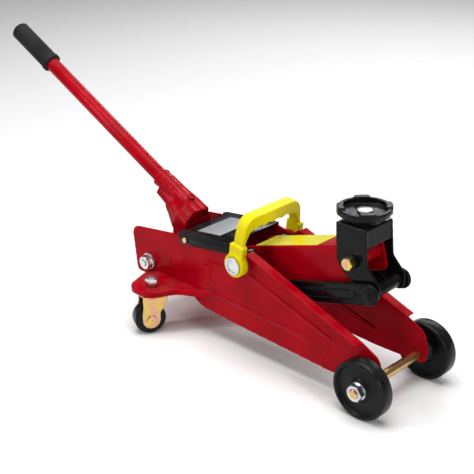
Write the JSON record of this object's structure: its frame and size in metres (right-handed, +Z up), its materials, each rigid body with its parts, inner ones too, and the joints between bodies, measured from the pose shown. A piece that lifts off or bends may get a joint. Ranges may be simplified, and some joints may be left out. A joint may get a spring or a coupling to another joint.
{
  "type": "hydraulic floor jack",
  "caption": "Compact hydraulic floor jack on front wheels and rear casters, with a lift arm, a level swivelling saddle, a pumping handle and a carrying handle.",
  "frame": {"origin": "on the floor, below the middle of the whole jack with its handle", "axes": "+X towards the saddle end, +Y to the jack's left, +Z up"},
  "size_m": [0.7315, 0.2053, 0.3455],
  "materials": {
    "red_enamel": "glossy crimson enamel over pressed steel",
    "black_enamel": "gloss black enamel over steel",
    "black_cast": "satin black paint over cast iron",
    "black_nylon": "glossy black moulded nylon",
    "yellow_zinc": "iridescent yellow zinc plate",
    "bright_zinc": "bright zinc plate or ground steel",
    "yellow_plastic": "moulded lemon-yellow plastic, fine grain",
    "yellow_film": "plain yellow adhesive film",
    "label_foil": "silver-grey foil, left blank",
    "black_rubber": "matte black rubber"
  },
  "bodies": {
    "frame": {"side_plate_right": "red_enamel", "side_plate_left": "red_enamel", "front_axle": "yellow_zinc", "axle_washers": "bright_zinc", "axle_nuts": "bright_zinc", "lift_shaft": "bright_zinc", "shaft_spacers": "black_enamel", "shaft_nuts": "bright_zinc", "rear_tie_rod": "bright_zinc", "tie_rod_nuts": "bright_zinc", "cover_plate": "black_enamel", "cover_label": "label_foil", "cover_screws": "yellow_zinc", "pump_block": "red_enamel", "cylinder_tube": "bright_zinc", "reservoir_tube": "red_enamel", "gland_nut": "bright_zinc", "filler_plug": "black_rubber", "valve_plugs": "bright_zinc", "socket_pivot_pin": "bright_zinc", "link_studs": "black_enamel", "rear_circlips": "black_enamel", "caster_bolts": "bright_zinc", "caster_races": "bright_zinc", "caster_nuts": "bright_zinc", "plunger_spring": "bright_zinc"},
    "front_wheel_right": {"front_wheel_right": "black_cast"},
    "front_wheel_left": {"front_wheel_left": "black_cast"},
    "caster_right": {"caster_fork_right": "yellow_zinc", "caster_axle_right": "yellow_zinc"},
    "caster_left": {"caster_fork_left": "yellow_zinc", "caster_axle_left": "yellow_zinc"},
    "caster_wheel_right": {"caster_wheel_right": "black_nylon"},
    "caster_wheel_left": {"caster_wheel_left": "black_nylon"},
    "lift_arm": {"lift_arm": "red_enamel", "arm_sleeves": "red_enamel", "thrust_pin": "bright_zinc", "arm_sticker": "yellow_film"},
    "link_right": {"link_right": "black_enamel"},
    "link_left": {"link_left": "black_enamel"},
    "saddle_bracket": {"saddle_bracket": "black_enamel", "arm_bolt": "yellow_zinc", "arm_bolt_washers": "black_enamel", "arm_bolt_nut": "yellow_zinc", "link_pin": "black_enamel", "spacer_tube": "black_enamel", "front_circlips": "black_enamel", "saddle_pin": "bright_zinc"},
    "saddle": {"saddle_cup": "black_cast"},
    "ram": {"ram": "bright_zinc", "piston_seal": "black_rubber"},
    "pump_plunger": {"pump_plunger": "bright_zinc"},
    "release_valve": {"release_valve": "bright_zinc"},
    "handle_socket": {"handle_socket": "red_enamel", "socket_cam_pin": "bright_zinc", "socket_bolt": "bright_zinc"},
    "handle": {"handle_tube": "red_enamel", "handle_grip": "black_rubber"},
    "carry_handle": {"carry_handle": "yellow_plastic"}
  },
  "joints": [
    {"name": "lift", "type": "hinge", "parent": "frame", "child": "lift_arm", "pos_m": [0.12296, 0, 0.1262], "axis": [0, -1, 0], "range_deg": [-30, 32]},
    {"name": "bracket_level", "type": "hinge", "parent": "lift_arm", "child": "saddle_bracket", "pos_m": [0.28127, 0, 0.16862], "axis": [0, -1, 0], "range_deg": [-32, 30]},
    {"name": "link_right_swing", "type": "hinge", "parent": "frame", "child": "link_right", "pos_m": [0.15196, 0, 0.0952], "axis": [0, -1, 0], "range_deg": [-30, 32]},
    {"name": "link_left_swing", "type": "hinge", "parent": "frame", "child": "link_left", "pos_m": [0.15196, 0, 0.0952], "axis": [0, -1, 0], "range_deg": [-30, 32]},
    {"name": "ram_stroke", "type": "slide", "parent": "frame", "child": "ram", "axis": [1, 0, 0], "range_m": [-0.0205, 0.0219]},
    {"name": "saddle_turn", "type": "hinge", "parent": "saddle_bracket", "child": "saddle", "pos_m": [0.27797, 0, 0.21222], "axis": [0, 0, 1], "continuous": true},
    {"name": "handle_pump", "type": "hinge", "parent": "frame", "child": "handle_socket", "pos_m": [-0.01254, 0, 0.112], "axis": [0, 1, 0], "range_deg": [-16, 18]},
    {"name": "handle_pull", "type": "slide", "parent": "handle_socket", "child": "handle", "axis": [-0.8829, 0, 0.4695], "range_m": [0, 0.07]},
    {"name": "plunger_stroke", "type": "slide", "parent": "frame", "child": "pump_plunger", "axis": [0, 0, 1], "range_m": [-0.0045, 0.0051], "deforming": ["plunger_spring"]},
    {"name": "release_valve_turn", "type": "hinge", "parent": "frame", "child": "release_valve", "pos_m": [-0.06254, 0, 0.065], "axis": [-1, 0, 0], "range_deg": [0, 180]},
    {"name": "carry_handle_swing", "type": "hinge", "parent": "frame", "child": "carry_handle", "pos_m": [0.12296, 0, 0.1262], "axis": [0, -1, 0], "range_deg": [0, 50]},
    {"name": "front_wheel_right_spin", "type": "hinge", "parent": "frame", "child": "front_wheel_right", "pos_m": [0.32946, -0.0625, 0.037], "axis": [0, 1, 0], "continuous": true},
    {"name": "front_wheel_left_spin", "type": "hinge", "parent": "frame", "child": "front_wheel_left", "pos_m": [0.32946, 0.0625, 0.037], "axis": [0, 1, 0], "continuous": true},
    {"name": "caster_right_swivel", "type": "hinge", "parent": "frame", "child": "caster_right", "pos_m": [-0.00754, -0.078, 0.06], "axis": [0, 0, 1], "continuous": true},
    {"name": "caster_left_swivel", "type": "hinge", "parent": "frame", "child": "caster_left", "pos_m": [-0.00754, 0.078, 0.06], "axis": [0, 0, 1], "continuous": true},
    {"name": "caster_wheel_right_spin", "type": "hinge", "parent": "caster_right", "child": "caster_wheel_right", "pos_m": [-0.01039, -0.08384, 0.021], "axis": [0.8988, -0.4384, 0], "continuous": true},
    {"name": "caster_wheel_left_spin", "type": "hinge", "parent": "caster_left", "child": "caster_wheel_left", "pos_m": [-0.01039, 0.07216, 0.021], "axis": [0.8988, -0.4384, 0], "continuous": true}
  ],
  "couplings": [
    {"joint": "bracket_level", "follows": "lift", "ratio": -1},
    {"joint": "link_right_swing", "follows": "lift", "ratio": 1},
    {"joint": "link_left_swing", "follows": "lift", "ratio": 1},
    {"joint": "ram_stroke", "follows": "lift", "m_per_rad": 0.0388},
    {"joint": "plunger_stroke", "follows": "handle_pump", "m_per_rad": 0.016}
  ]
}
